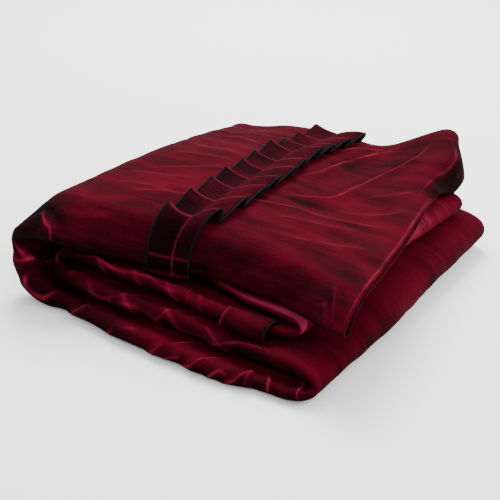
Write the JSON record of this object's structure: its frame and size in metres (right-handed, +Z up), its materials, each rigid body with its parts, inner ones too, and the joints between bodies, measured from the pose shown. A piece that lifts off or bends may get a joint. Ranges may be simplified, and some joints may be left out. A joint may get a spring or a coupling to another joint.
{
  "type": "piano cover",
  "caption": "Wine red velvet piano cover, folded in half and back and forth into a soft stack, with a pleated ruffle strip edged in black across it.",
  "frame": {"origin": "bottom centre of the bounding box, on the surface that the stack rests on", "axes": "+Z up, +X along the front fold towards the stack's right end, +Y from the front towards the hems at the back"},
  "size_m": [0.4156, 0.4776, 0.1327],
  "materials": {
    "velvet": "soft pile",
    "edging": "matt"
  },
  "bodies": {
    "root": {"cloth": "velvet", "top_ruffle": "velvet", "top_ruffle_left_edging": "edging", "top_ruffle_right_edging": "edging", "inner_ruffle": "velvet", "inner_ruffle_right_edging": "edging"}
  },
  "joints": []
}
